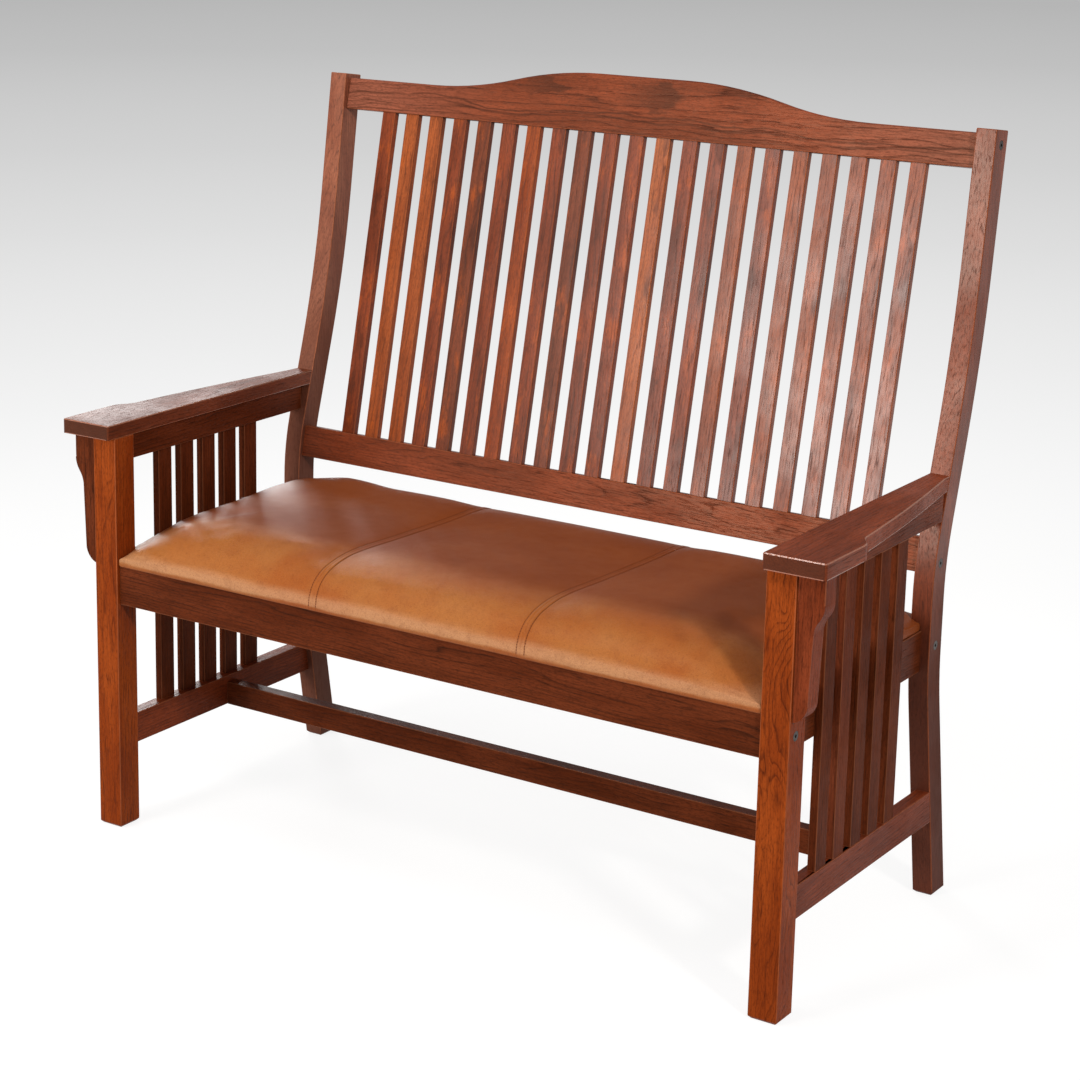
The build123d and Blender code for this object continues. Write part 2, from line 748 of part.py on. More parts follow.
def seat_section(x, crown_share):
    """Front-to-back outline of the seat at x: underside, lip, front roll, top and back roll."""
    crown = crown_share * seat_crown
    roll = crown_share * front_roll
    top_end = crown - top_fall_share * crown
    back_start = cushion_back - back_roll_share * crown
    with BuildSketch(side_plane(x)) as section:
        with BuildLine():
            under = Line((cushion_back, seat_bottom), (cushion_front, seat_bottom))
            lip = Line(under @ 1, (cushion_front, seat_bottom + lip_share * crown))
            shoulder = (cushion_front + shoulder_place_share * roll,
                        seat_rail_top + shoulder_rise_share * crown)
            rise = TangentArc(lip @ 1, shoulder, tangent=lip % 1)
            brow = TangentArc(rise @ 1, (cushion_front + roll, seat_rail_top + crown), tangent=rise % 1)
            top = TangentArc(brow @ 1, (back_start, seat_rail_top + top_end), tangent=brow % 1)
            fall = TangentArc(top @ 1, (cushion_back, seat_rail_top + top_end - back_drop_share * crown),
                              tangent=top % 1)
            Line(fall @ 1, under @ 0)
        make_face()
    return section.sketch


outer_panel = seat_side - seam_half
middle_places = [share * seam_half for share in middle_place_shares]
outer_places = [seam_half + share * outer_panel for share in outer_place_shares]

with BuildPart() as seat_cushion:
    loft([seat_section(*station) for station in zip(middle_places, middle_crown_shares)], ruled=True)
    loft([seat_section(*station) for station in zip(outer_places, outer_crown_shares)], ruled=True)
    mirror(about=Plane.YZ)
    seat_notches(cushion_gap, (seat_rail_top - overrun, seat_rail_top + seat_crown + overrun))
    board_shape(lip_gap, (seat_rail_top - overrun, board_z[1]), Mode.SUBTRACT)
save(seat_cushion.part, "seat_cushion")
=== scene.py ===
import math
import random

import bmesh
import bpy
from mathutils import Matrix, Vector
from mathutils.bvhtree import BVHTree


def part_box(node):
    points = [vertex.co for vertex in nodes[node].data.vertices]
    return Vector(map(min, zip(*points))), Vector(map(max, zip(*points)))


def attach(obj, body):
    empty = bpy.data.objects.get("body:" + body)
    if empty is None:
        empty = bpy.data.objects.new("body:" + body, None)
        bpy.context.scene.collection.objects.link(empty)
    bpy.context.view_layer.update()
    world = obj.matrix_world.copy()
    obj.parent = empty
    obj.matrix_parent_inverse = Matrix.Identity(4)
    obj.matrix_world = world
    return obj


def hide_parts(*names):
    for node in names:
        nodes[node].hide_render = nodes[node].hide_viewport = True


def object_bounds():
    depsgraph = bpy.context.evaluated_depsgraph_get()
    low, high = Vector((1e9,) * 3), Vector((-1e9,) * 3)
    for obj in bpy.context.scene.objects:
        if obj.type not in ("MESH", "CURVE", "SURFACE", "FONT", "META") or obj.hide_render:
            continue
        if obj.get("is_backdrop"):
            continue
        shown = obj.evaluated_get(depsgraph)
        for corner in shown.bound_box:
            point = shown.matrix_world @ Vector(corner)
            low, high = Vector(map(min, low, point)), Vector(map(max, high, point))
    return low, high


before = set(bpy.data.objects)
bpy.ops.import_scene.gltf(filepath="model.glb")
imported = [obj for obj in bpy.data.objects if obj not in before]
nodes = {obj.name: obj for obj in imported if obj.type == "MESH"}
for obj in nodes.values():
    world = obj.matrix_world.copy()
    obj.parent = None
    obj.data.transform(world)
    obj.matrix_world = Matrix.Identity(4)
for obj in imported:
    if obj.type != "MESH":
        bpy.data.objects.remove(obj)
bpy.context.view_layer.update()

scene = bpy.context.scene
mm = 0.001
front_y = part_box("front_post_left")[0].y
rake = math.radians(11.95)


def srgb(red, green, blue):
    """Linear colour of an 8-bit sRGB one."""
    def linear(value):
        value /= 255
        return value / 12.92 if value <= 0.04045 else ((value + 0.055) / 1.055) ** 2.4
    return (linear(red), linear(green), linear(blue), 1)


def make_camera():
    """The photograph's camera: its place, turn and lens were found from the object's own straight edges."""
    place = Vector((2.0895, front_y - 2.9619, 1.6228))
    azimuth, elevation, roll = (math.radians(angle) for angle in (34.93, 13.72, 0.65))
    forward = Vector((
        -math.sin(azimuth) * math.cos(elevation),
        math.cos(azimuth) * math.cos(elevation),
        -math.sin(elevation),
    ))
    right = forward.cross(Vector((0, 0, 1))).normalized()
    down = forward.cross(right)
    image_right = math.cos(roll) * right - math.sin(roll) * down
    image_down = math.sin(roll) * right + math.cos(roll) * down
    data = bpy.data.cameras.new("camera")
    data.sensor_width = 36
    data.lens = 87.77
    data.shift_x = 0.1054
    data.shift_y = -0.0996
    data.clip_end = 200
    camera = bpy.data.objects.new("camera", data)
    scene.collection.objects.link(camera)
    turn = Matrix((image_right, -image_down, -forward)).transposed()
    camera.matrix_world = Matrix.Translation(place) @ turn.to_4x4()
    scene.camera = camera


make_camera()
scene.view_settings.view_transform = "Standard"


class Graph:
    """Adds nodes to a material, world or node group and wires them."""

    def __init__(self, tree):
        self.tree = tree
        tree.nodes.clear()

    def add(self, kind, inputs=None, **settings):
        """New node, with its inputs linked to sockets or set to values."""
        node = self.tree.nodes.new(kind)
        for key, value in settings.items():
            setattr(node, key, value)
        for key, value in (inputs or {}).items():
            self.put(node.inputs[key], value)
        return node

    def put(self, socket, value):
        """Links an input to the socket given, or sets it to the value given."""
        if isinstance(value, bpy.types.NodeSocket):
            self.tree.links.new(value, socket)
        else:
            socket.default_value = value

    def math(self, operation, *values):
        return self.add("ShaderNodeMath", dict(enumerate(values)), operation=operation).outputs[0]

    def vector(self, operation, *values):
        return self.add("ShaderNodeVectorMath", dict(enumerate(values)), operation=operation).outputs[0]

    def length(self, vector):
        return self.add("ShaderNodeVectorMath", {0: vector}, operation="LENGTH").outputs["Value"]

    def axis(self, vector, index):
        return self.add("ShaderNodeSeparateXYZ", {0: vector}).outputs[index]

    def place(self):
        """Place on the object, in its own coordinates."""
        return self.add("ShaderNodeTexCoord").outputs["Object"]

    def span(self, value, low, high, to_low=0.0, to_high=1.0):
        """Smooth step of a value from low to high."""
        inputs = {"Value": value, "From Min": low, "From Max": high, "To Min": to_low, "To Max": to_high}
        return self.add("ShaderNodeMapRange", inputs, interpolation_type="SMOOTHSTEP").outputs[0]

    def stretch(self, vector, scale, shift=(0, 0, 0), turn=(0, 0, 0)):
        inputs = {"Vector": vector, "Location": shift, "Rotation": turn, "Scale": scale}
        return self.add("ShaderNodeMapping", inputs).outputs[0]

    def noise(self, vector, scale, detail=2.0, roughness=0.5, distortion=0.0, output=0):
        """Noise with one scale, or stretched with three."""
        if isinstance(scale, tuple):
            vector, scale = self.stretch(vector, scale), 1
        inputs = {"Vector": vector, "Scale": scale, "Detail": detail, "Roughness": roughness,
                  "Distortion": distortion}
        return self.add("ShaderNodeTexNoise", inputs).outputs[output]

    def wander(self, vector, scale, reach, detail, roughness):
        """Vector that wanders up to about a third of the reach to every side."""
        colour = self.noise(vector, scale, detail, roughness, output="Color")
        centred = self.vector("SUBTRACT", colour, (0.5, 0.5, 0.5))
        inputs = {0: centred, "Scale": reach}
        return self.add("ShaderNodeVectorMath", inputs, operation="SCALE").outputs[0]

    def mix(self, factor, first, second):
        """Mixed colour: of the node's many sockets, 6, 7 and 2 are those for colours."""
        node = self.add("ShaderNodeMix", data_type="RGBA")
        for index, value in ((0, factor), (6, first), (7, second)):
            self.put(node.inputs[index], value)
        return node.outputs[2]

    def ramp(self, value, stops):
        """Grey or colour of a value between stops, each a place and its shade."""
        node = self.add("ShaderNodeValToRGB", {"Fac": value})
        points = node.color_ramp.elements
        while len(points) < len(stops):
            points.new(0.5)
        for point, (place, colour) in zip(points, stops):
            point.position = place
            point.color = colour if isinstance(colour, tuple) else (colour, colour, colour, 1)
        return node.outputs[0]

    def bump(self, height, distance, strength):
        inputs = {"Height": height, "Distance": distance, "Strength": strength}
        return self.add("ShaderNodeBump", inputs).outputs[0]


def new_material(name):
    material = bpy.data.materials.new(name)
    material.use_nodes = True
    return material, Graph(material.node_tree)


def surface(graph, colour, roughness, normal, **constants):
    """Principled shader with three textured inputs and the rest as constants on its own sockets."""
    inputs = {"Base Color": colour, "Roughness": roughness, "Normal": normal}
    inputs.update({key.replace("_", " "): value for key, value in constants.items()})
    shader = graph.add("ShaderNodeBsdfPrincipled", inputs)
    graph.add("ShaderNodeOutputMaterial", {"Surface": shader.outputs[0]})


# Tones of stained oak, each with its pale, middle and dark wood
tones = {
    "orange": (srgb(160, 72, 25), srgb(136, 56, 17), srgb(74, 27, 10)),
    "amber": (srgb(154, 77, 41), srgb(130, 60, 29), srgb(72, 31, 16)),
    "red": (srgb(140, 64, 36), srgb(116, 49, 24), srgb(62, 25, 13)),
    "brown": (srgb(126, 62, 38), srgb(104, 47, 26), srgb(56, 24, 13)),
    "dark": (srgb(108, 50, 26), srgb(88, 37, 16), srgb(46, 19, 8)),
    "gold": (srgb(178, 94, 46), srgb(154, 74, 32), srgb(84, 36, 16)),
    "tan": (srgb(164, 98, 72), srgb(138, 76, 54), srgb(82, 42, 28)),
    "honey": (srgb(170, 86, 42), srgb(148, 69, 30), srgb(82, 36, 16)),
    "beech": (srgb(206, 164, 120), srgb(190, 146, 102), srgb(140, 98, 66)),
}
wear_and_highlight_pale = srgb(214, 140, 100)
# Pale of the reflection painted onto the crest's ends
end_sheen_pale = srgb(180, 114, 92)
stain_orange = srgb(184, 84, 24)
turns = {"x": (0, -math.pi / 2, 0), "y": (math.pi / 2, 0, 0), "z": (0, 0, 0), "rake": (rake, 0, 0)}


def wood_space(graph, place, middle, grain, pith, tilt):
    """Place turned so that z runs along the grain, with the pith line at x = y = 0."""
    turn = Matrix.Rotation(tilt[1], 3, "Y") @ Matrix.Rotation(tilt[0], 3, "X")
    for axis, angle in zip("XYZ", turns[grain]):
        turn = turn @ Matrix.Rotation(angle, 3, axis)
    shift = Vector((pith[0], pith[1], 0)) - turn @ Vector(middle)
    return graph.stretch(place, (1, 1, 1), shift, turn.to_euler("XYZ"))


def early_wood(graph, wood, spacing, wave):
    """1 in the porous early part of each growth ring, near 0 in the rest."""
    bent = graph.vector("ADD", wood, graph.wander(wood, (14, 14, 5.5), wave, 1.5, 0.45))
    bent = graph.vector("ADD", bent, graph.wander(wood, (95, 95, 16), 0.0028, 2, 0.5))
    radius = graph.length(graph.vector("MULTIPLY", bent, (1, 1, 0)))
    uneven = graph.math("MULTIPLY", graph.noise(wood, (60, 60, 1.2), 1), 1.8)
    ring = graph.math("FRACT", graph.math("MULTIPLY_ADD", radius, 1 / spacing, uneven))
    stops = ((0, 0.15), (0.05, 1.0), (0.11, 0.85), (0.24, 0.25), (0.5, 0.05), (0.9, 0.0), (1, 0.15))
    return graph.ramp(ring, stops)


def wandering_line(graph, place, height, darkness):
    """Darkness of a thin line along the crest, which wanders round a height."""
    reach = 0.05
    tall = graph.math("SUBTRACT", graph.axis(place, 2), height + reach / 2)
    tall = graph.math("MULTIPLY_ADD", graph.noise(place, (5, 5, 9), 3, 0.55), reach, tall)
    return graph.span(graph.math("ABSOLUTE", tall), 0.0006, 0.0022, darkness, 0.0)


def tongue(graph, place, centre, size):
    """Darkness of a ragged oval patch, which deepens along x."""
    near = graph.vector("ADD", place, graph.wander(place, (16, 16, 45), 0.05, 3, 0.62))
    near = graph.vector("SUBTRACT", near, centre)
    along = graph.span(graph.axis(near, 0), -size[0], 0.6 * size[0], 0.12, 0.72)
    inside = graph.span(graph.length(graph.vector("DIVIDE", near, size)), 0.78, 1.0, 1.0, 0.0)
    return graph.math("MULTIPLY", inside, along)


def oak(name, middle, grain, tone, pith, tilt=(0.02, 0.015), spacing=0.0048, wave=0.02, figure=0.6,
        wear_and_highlight=0.0, stain=0.0, painted_end_sheen=0.0, end_grain=0.0, feet=0.0, feet_reach=(0.36, 0.6), lines=(),
        tongues=(), depth=0.8, rough_low=0.34, shine=0.05, sheen=(1, 0.6, 0.4, 1)):
    """Oak whose grain runs along an axis, with its pith line at an offset from the middle of the piece.

    spacing is the distance between rings, wave how far they bend and figure how strongly they show.
    worn makes the whole paler, as wear and a painted highlight on eased edges, and stain makes it patchy.
    faded paints a pale reflection onto both ends in x. end_grain darkens the end grain, and feet is painted
    shade that darkens, and roughens, what is below feet_reach. lines and tongues are marks of the crest's
    figure. depth is that of the relief, rough_low the lowest roughness, and shine and sheen are the
    strength and tint of the reflection.
    """
    material, graph = new_material(name)
    pale, mid, dark = tones[tone]
    # Edge oak is made paler, both for wear and as a painted highlight
    if wear_and_highlight:
        pale, mid, dark = (tuple(c + wear_and_highlight * (p - c) for c, p in zip(part, wear_and_highlight_pale))
                           for part in (pale, mid, dark))
    place = graph.place()
    wood = wood_space(graph, place, middle, grain, pith, tilt)
    early = early_wood(graph, wood, spacing, wave)
    pores = graph.span(graph.noise(wood, (620, 620, 38), 2, 0.6), 0.5, 0.64)
    pores = graph.math("MULTIPLY", pores, graph.math("MULTIPLY_ADD", early, 0.65, 0.35))
    fibre = graph.noise(wood, (300, 300, 10), 3, 0.6)
    fleck = graph.noise(wood, (520, 520, 150), 2, 0.6)
    blotch = graph.noise(wood, (20, 20, 5), 3, 0.55)
    strong = graph.span(graph.noise(wood, (45, 45, 6)), 0.34, 0.64, 0.15, 1.0)
    # Share of the painted shade that darkens a piece towards its bottom
    low = graph.span(graph.axis(place, 2), *feet_reach, 1.0, 0.0) if feet else None

    body = graph.mix(graph.span(blotch, 0.34, 0.66), pale, mid)
    if stain:
        patchy = graph.noise(wood, (34, 34, 13), 4, 0.62)
        body = graph.mix(graph.span(patchy, 0.33, 0.47, stain, 0.0), body, stain_orange)
        body = graph.mix(graph.span(patchy, 0.53, 0.68, 0.0, stain), body, dark)
    # Painted reflection: both ends in x are made paler and greyer
    if painted_end_sheen:
        aside = graph.math("ABSOLUTE", graph.axis(place, 0))
        body = graph.mix(graph.span(aside, 0.2, 0.6, 0.0, painted_end_sheen), body, end_sheen_pale)
    if end_grain:
        facing = graph.add("ShaderNodeTexCoord").outputs["Normal"]
        facing = graph.math("ABSOLUTE", graph.axis(facing, "xyz".index(grain)))
        body = graph.mix(graph.span(facing, 0.85, 0.96, 0.0, end_grain), body, dark)
    # Painted shade: darker towards the bottom of the piece
    if feet:
        body = graph.mix(graph.math("MULTIPLY", low, feet), body, dark)
    ring_share = graph.math("MULTIPLY", graph.math("MULTIPLY", early, strong), figure)
    body = graph.mix(ring_share, body, dark)
    body = graph.mix(graph.span(fibre, 0.44, 0.7, 0.0, 0.34), body, dark)
    body = graph.mix(graph.span(fleck, 0.46, 0.7, 0.0, 0.42), body, dark)
    body = graph.mix(graph.math("MULTIPLY", pores, 0.7), body, dark)
    for height, darkness in lines:
        line = wandering_line(graph, place, height, darkness)
        line = graph.math("MULTIPLY", line, graph.math("MULTIPLY_ADD", strong, 0.6, 0.4))
        body = graph.mix(line, body, dark)
    for centre, size in tongues:
        body = graph.mix(tongue(graph, place, centre, size), body, dark)

    rub_and_highlight = graph.span(graph.noise(place, 9, 3, 0.6), 0.35, 0.7, rough_low, rough_low + 0.12)
    rough = graph.math("MULTIPLY_ADD", pores, 0.16, rub_and_highlight)
    if feet:
        rough = graph.math("MULTIPLY_ADD", low, 0.35, rough)
    relief = graph.math("MULTIPLY_ADD", early, -0.4, graph.math("MULTIPLY", pores, -1.0))
    relief = graph.math("MULTIPLY_ADD", fibre, 0.35, relief)
    normal = graph.bump(relief, 0.0003, depth)
    surface(graph, body, rough, normal, Specular_IOR_Level=shine, Specular_Tint=sheen)
    return material


def grain_of(node):
    """Direction of a wooden piece's grain."""
    if node.startswith("back_slat"):
        return "rake"
    if node.startswith(("front_post", "back_post", "corbel", "side_slat")):
        return "z"
    if node.startswith(("arm", "upper_side", "lower_side", "side_seat", "seat_bearer")):
        return "y"
    return "x"


# Tones of the pieces: those of the back slats follow the photograph from left to right, and those of the
# side slats are drawn by chance
tone_of = {
    "front_post_left": "orange", "front_post_right": "orange", "back_post_left": "tan",
    "back_post_right": "red", "arm_left": "brown", "arm_right": "red", "corbel_left": "dark",
    "corbel_right": "red", "upper_side_rail_left": "dark", "upper_side_rail_right": "brown",
    "lower_side_rail_left": "red", "lower_side_rail_right": "red", "side_seat_rail_left": "dark",
    "side_seat_rail_right": "dark", "front_seat_rail": "dark", "back_seat_rail": "dark",
    "crest_rail": "red", "lower_back_rail": "red", "center_stretcher": "dark",
    "seat_bearer": "dark", "corner_blocks": "brown",
}
chance = random.Random(11)
back_slats = [name for name in sorted(nodes) if name.startswith("back_slat")]
slat_tones = ("red honey honey red brown red orange red brown red red gold red red amber red amber amber "
              "amber amber amber")
tone_of.update(zip(back_slats, slat_tones.split()))
for name in sorted(nodes):
    if name.startswith("side_slat"):
        tone_of[name] = chance.choice(("dark", "brown", "dark") if "right" in name else ("dark", "dark"))

# The crest's own figure: two dark tongues, by centre and half size, and three long lines, by height
crest_y, crest_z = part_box("crest_rail")[0].yz
crest_tongues = (
    ((-0.185, crest_y, 1.163), (0.065, 0.2, 0.013)),
    ((0.015, crest_y, 1.162), (0.07, 0.2, 0.021)),
)
crest_lines = ((crest_z + 0.033, 0.7), (crest_z + 0.026, 0.55), (crest_z + 0.011, 0.4))


def looks_of(name, middle):
    """What sets a piece's oak apart from the plain one."""
    if name == "front_post_left":
        return {"wave": 0.035, "figure": 0.5}
    if name == "front_post_right":
        return {"wave": 0.07, "figure": 0.7, "spacing": 0.0036}
    if name.startswith("arm_"):
        return {"wave": 0.016, "figure": 0.5, "shine": 0.3, "rough_low": 0.5, "end_grain": 0.75}
    if name == "crest_rail":
        # The crest's paler ends are a painted reflection
        return {"wave": 0.03, "figure": 0.7, "spacing": 0.0115, "shine": 0.3, "painted_end_sheen": 0.4,
                "tongues": crest_tongues, "lines": crest_lines}
    if name == "front_seat_rail":
        return {"wave": 0.022, "figure": 0.75}
    if name == "lower_back_rail":
        return {"wave": 0.022, "figure": 0.5, "shine": 0.3}
    if name.startswith("back_post"):
        # The back posts get painted shade low down; on the left one it reaches higher
        looks = {"shine": 0.3, "rough_low": 0.29, "sheen": (1, 0.84, 0.72, 1), "depth": 0.17, "figure": 0.4,
                 "feet": 0.75}
        if name.endswith("left"):
            looks["feet_reach"] = (0.55, 1.0)
        return looks
    if name.startswith("back_slat"):
        # The slats reflect more, and whiter, the further right they stand
        right = min(max(middle.x / 0.5 + 1, 0) / 2, 1)
        sheen = (1, 0.75 + 0.23 * right, 0.6 + 0.36 * right, 1)
        return {"shine": 0.16 + 0.27 * right, "rough_low": 0.29, "sheen": sheen, "depth": 0.17,
                "stain": 0.55}
    return {"wave": 0.016, "figure": 0.55, "rough_low": 0.5 if name.startswith("side_slat") else 0.34}


def geometry_group(name):
    """New node group that takes and gives a mesh, its graph and the mesh it takes."""
    group = bpy.data.node_groups.new(name, "GeometryNodeTree")
    for way in ("INPUT", "OUTPUT"):
        group.interface.new_socket("Geometry", in_out=way, socket_type="NodeSocketGeometry")
    graph = Graph(group)
    return group, graph, graph.add("NodeGroupInput").outputs[0]


def arris_group(longer_than=0.0075, sharper_than=0.95):
    """Marks the long sharp edges of a piece for the Bevel modifier: lengths in metres, angles in radians."""
    group, graph, mesh = geometry_group("arris")
    ends = graph.add("GeometryNodeInputMeshEdgeVertices")
    length = graph.add("ShaderNodeVectorMath", {0: ends.outputs[2], 1: ends.outputs[3]}, operation="DISTANCE")
    long = graph.math("GREATER_THAN", length.outputs["Value"], longer_than)
    angle = graph.add("GeometryNodeInputMeshEdgeAngle").outputs["Unsigned Angle"]
    weight = graph.math("MULTIPLY", long, graph.math("GREATER_THAN", angle, sharper_than))
    inputs = {"Geometry": mesh, "Name": "bevel_weight_edge", "Value": weight}
    store = graph.add("GeometryNodeStoreNamedAttribute", inputs, data_type="FLOAT", domain="EDGE")
    graph.add("NodeGroupOutput", {0: store.outputs[0]})
    return group


def smooth_group(limit=math.radians(35)):
    """Shades faces smooth and keeps the edges over an angle limit sharp."""
    group, graph, mesh = geometry_group("smooth")
    angle = graph.add("GeometryNodeInputMeshEdgeAngle").outputs["Unsigned Angle"]
    sharp = graph.math("GREATER_THAN", angle, limit)
    faces = graph.add("GeometryNodeSetShadeSmooth", {"Geometry": mesh}, domain="FACE")
    inputs = {"Geometry": faces.outputs[0], "Selection": sharp, "Shade Smooth": False}
    edges = graph.add("GeometryNodeSetShadeSmooth", inputs, domain="EDGE")
    graph.add("NodeGroupOutput", {0: edges.outputs[0]})
    return group


def edge_paint_group(lowest=0.55, highest=0.85):
    """Gives the chamfers that slope half up, by the z of their normals, the piece's second, pale oak: wear
    and painted highlight.
    """
    group, graph, mesh = geometry_group("edge_paint")
    slope = graph.axis(graph.add("GeometryNodeInputNormal").outputs[0], 2)
    above = graph.math("GREATER_THAN", slope, lowest)
    chamfer = graph.math("MULTIPLY", above, graph.math("LESS_THAN", slope, highest))
    inputs = {"Geometry": mesh, "Selection": chamfer, "Material Index": 1}
    painted = graph.add("GeometryNodeSetMaterialIndex", inputs)
    graph.add("NodeGroupOutput", {0: painted.outputs[0]})
    return group


arris, smooth, edge_paint = arris_group(), smooth_group(), edge_paint_group()


def ease_edges(piece, width, wear_and_highlight_slot=0):
    """Modifiers that ease a CAD piece's arrises and shade it smooth."""
    weld = piece.modifiers.new("weld", "WELD")
    weld.merge_threshold = 0.00002
    flat = piece.modifiers.new("flat", "DECIMATE")
    flat.decimate_type = "DISSOLVE"
    flat.angle_limit = math.radians(0.6)
    piece.modifiers.new("arris", "NODES").node_group = arris
    bevel = piece.modifiers.new("bevel", "BEVEL")
    bevel.limit_method = "WEIGHT"
    bevel.width = width
    bevel.segments = 2
    bevel.use_clamp_overlap = False
    # The bevels take the pale edge oak: wear and a painted highlight
    bevel.material = wear_and_highlight_slot
    piece.modifiers.new("smooth", "NODES").node_group = smooth
    normals = piece.modifiers.new("normals", "WEIGHTED_NORMAL")
    normals.keep_sharp = True


def paint(piece, *materials):
    """Gives a piece its materials."""
    slots = piece.data.materials
    slots.clear()
    for material in materials:
        slots.append(material)


# Each piece has its own oak, and shares the pale oak of its eased edges (wear and painted highlight) by tone
wear_and_highlight_oak = {}
# The arms' edges are paler still, for wear and as a painted highlight, and also glossier
arm_edge = {"wear_and_highlight": 0.3, "shine": 1.0, "rough_low": 0.16, "sheen": (1, 1, 1, 1)}
for name, piece in sorted(nodes.items()):
    if name not in tone_of:
        continue
    low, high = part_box(name)
    middle = (low + high) / 2
    side = chance.choice((-1, 1))
    pith = (side * chance.uniform(0.012, 0.03), chance.uniform(0.03, 0.055))
    tilt = (chance.uniform(-0.03, 0.03), chance.uniform(-0.02, 0.02))
    if name.startswith("front_post"):
        pith, tilt = (0.004 * side, 0.05), (0.02, 0.01)
    elif name == "crest_rail":
        pith, tilt = (0.05, 0.03), (0.004, 0.012)
    tone, arm = tone_of[name], name.startswith("arm_")
    wood = oak(f"oak_{name}", middle, grain_of(name), tone, pith, tilt, **looks_of(name, middle))
    if (tone, arm) not in wear_and_highlight_oak:
        edge = arm_edge if arm else {"wear_and_highlight": 0.16}
        wear_and_highlight_oak[tone, arm] = oak(f"worn_{tone}_{int(arm)}", (0, 0, 0), "z", tone, (0.05, 0.02), **edge)
    paint(piece, wood, wear_and_highlight_oak[tone, arm])
    ease_edges(piece, 1.0 * mm if "slat" in name else 1.3 * mm, wear_and_highlight_slot=1)
    if arm:
        piece.modifiers.new("edge_paint", "NODES").node_group = edge_paint


def seen_rays(graph):
    """1 for what the camera sees, also in a reflection or through glass, and 0 for light on other things."""
    path = graph.add("ShaderNodeLightPath")
    seen = graph.math("MAXIMUM", path.outputs["Is Camera Ray"], path.outputs["Is Glossy Ray"])
    return graph.math("MAXIMUM", seen, path.outputs["Is Transmission Ray"])


def new_piece(name, shape):
    """Object with a finished bmesh as its mesh."""
    mesh = bpy.data.meshes.new(name)
    shape.to_mesh(mesh)
    shape.free()
    piece = bpy.data.objects.new(name, mesh)
    scene.collection.objects.link(piece)
    return piece


def make_floor(radius=40, reach=20.0, catch=0.22, dim=0.16):
    """Round floor: white and able to catch a faint shadow near the settle, and greyer with distance.

    Its greys are given by the share of reach. Near the settle, catch is how far it takes light, and dim
    what its own glow loses for that.
    """
    material, graph = new_material("floor")
    place = graph.add("ShaderNodeNewGeometry").outputs["Position"]
    far = graph.length(graph.vector("MULTIPLY", place, (1, 1, 0)))
    far = graph.math("DIVIDE", far, reach)
    near = graph.span(far, 0.07, 0.17, 1.0, 0.0)
    shade = graph.ramp(far, ((0.075, 1.0), (0.12, 0.95), (0.2, 0.845), (0.305, 0.73), (0.4175, 0.644),
                             (0.515, 0.597), (0.655, 0.527), (0.9, 0.465)))
    seen = seen_rays(graph)
    lit = graph.mix(graph.math("MULTIPLY", near, catch), (0, 0, 0, 1), shade)
    shadowed = graph.add("ShaderNodeBsdfDiffuse", {"Color": lit})
    strength = graph.math("MULTIPLY_ADD", near, -dim, 1.0)
    glow = graph.add("ShaderNodeEmission", {"Color": shade, "Strength": strength})
    shown = graph.add("ShaderNodeAddShader", {0: shadowed.outputs[0], 1: glow.outputs[0]})
    plain = graph.add("ShaderNodeBsdfDiffuse", {"Color": (0.45, 0.45, 0.45, 1)})
    both = graph.add("ShaderNodeMixShader", {0: seen, 1: plain.outputs[0], 2: shown.outputs[0]})
    graph.add("ShaderNodeOutputMaterial", {"Surface": both.outputs[0]})
    shape = bmesh.new()
    bmesh.ops.create_circle(shape, cap_ends=True, segments=96, radius=radius)
    piece = new_piece("floor", shape)
    piece.data.materials.append(material)
    return piece


floor = make_floor()
floor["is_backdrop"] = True


def make_world():
    """Soft white light, seen as pale grey."""
    world = bpy.data.worlds.new("world")
    scene.world = world
    world.use_nodes = True
    graph = Graph(world.node_tree)
    seen = seen_rays(graph)
    light = graph.add("ShaderNodeBackground", {"Color": (1, 0.985, 0.965, 1), "Strength": 0.42})
    back = graph.add("ShaderNodeBackground", {"Color": (0.47, 0.47, 0.47, 1), "Strength": 1.0})
    both = graph.add("ShaderNodeMixShader", {0: seen, 1: light.outputs[0], 2: back.outputs[0]})
    graph.add("ShaderNodeOutputWorld", {"Surface": both.outputs[0]})


def lamp(name, place, target, size, power, colour=(1, 1, 1)):
    """Soft square lamp that faces a point."""
    data = bpy.data.lights.new(name, "AREA")
    data.size = size
    data.energy = power
    data.color = colour
    light = bpy.data.objects.new(name, data)
    scene.collection.objects.link(light)
    light.location = place
    light.rotation_euler = (Vector(target) - Vector(place)).to_track_quat("-Z", "Y").to_euler()


make_world()
# A key lamp on the right, a fill in front, a soft top light, and one low behind for the leather's sheen
lamp("key", (4.1, -2.3, 3.1), (0, 0, 0.6), 0.5, 112, (1, 0.96, 0.91))
lamp("front", (-1.5, -4.4, 1.55), (0, 0, 0.6), 1.3, 118, (1, 0.975, 0.95))
lamp("top", (-1.1, -1.15, 3.4), (0, 0, 0.7), 1.0, 26, (1, 0.98, 0.96))
lamp("sheen", (-4.5, 3.7, 1.9), (0, 0, 0.5), 1.4, 112)


def steel(name, colour, roughness):
    """Slightly scuffed and patchy metal."""
    material, graph = new_material(name)
    place = graph.place()
    scuff = graph.noise(place, 900, 3, 0.6)
    deeper = tuple(0.55 * c for c in colour[:3]) + (1,)
    tint = graph.mix(graph.span(graph.noise(place, 160), 0.35, 0.7), colour, deeper)
    rough = graph.span(scuff, 0.3, 0.7, roughness - 0.08, roughness + 0.12)
    surface(graph, tint, rough, graph.bump(scuff, 0.00004, 0.5), Metallic=0.9)
    return material


